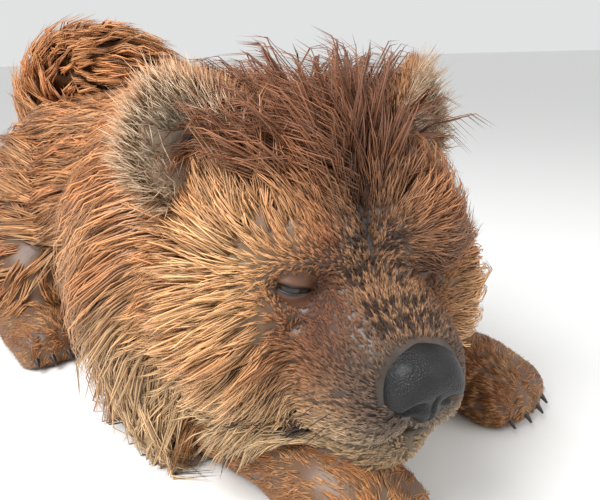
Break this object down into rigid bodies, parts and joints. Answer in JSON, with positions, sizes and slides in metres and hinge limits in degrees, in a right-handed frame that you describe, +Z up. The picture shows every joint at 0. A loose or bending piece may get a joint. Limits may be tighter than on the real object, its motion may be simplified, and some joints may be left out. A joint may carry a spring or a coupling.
{
  "type": "chow chow",
  "caption": "Life-size wet chow chow lying on its chest, forelegs forward, head low and turned to its right.",
  "frame": {"origin": "on the floor, on the flat of the chest under the breastbone", "axes": "+X forward along the body, +Y to the dog's left, +Z up"},
  "size_m": [0.7488, 0.3751, 0.3407],
  "materials": {
    "wet_coat": "long wet hair in clumped locks",
    "ear": "skin with short fur",
    "nose_leather": "pebbled, moist",
    "eye": "wet gloss"
  },
  "bodies": {
    "root": {"eye_right": "eye", "eye_left": "eye", "nose": "nose_leather", "ear_right": "ear", "ear_left": "ear", "jaw": "wet_coat", "head": "wet_coat", "forepaw_right": "wet_coat", "foreleg_right": "wet_coat", "hindpaw_right": "wet_coat", "hindleg_right": "wet_coat", "forepaw_left": "wet_coat", "foreleg_left": "wet_coat", "hindpaw_left": "wet_coat", "hindleg_left": "wet_coat", "tail_end": "wet_coat", "tail_base": "wet_coat", "neck": "wet_coat", "torso": "wet_coat"}
  },
  "joints": []
}
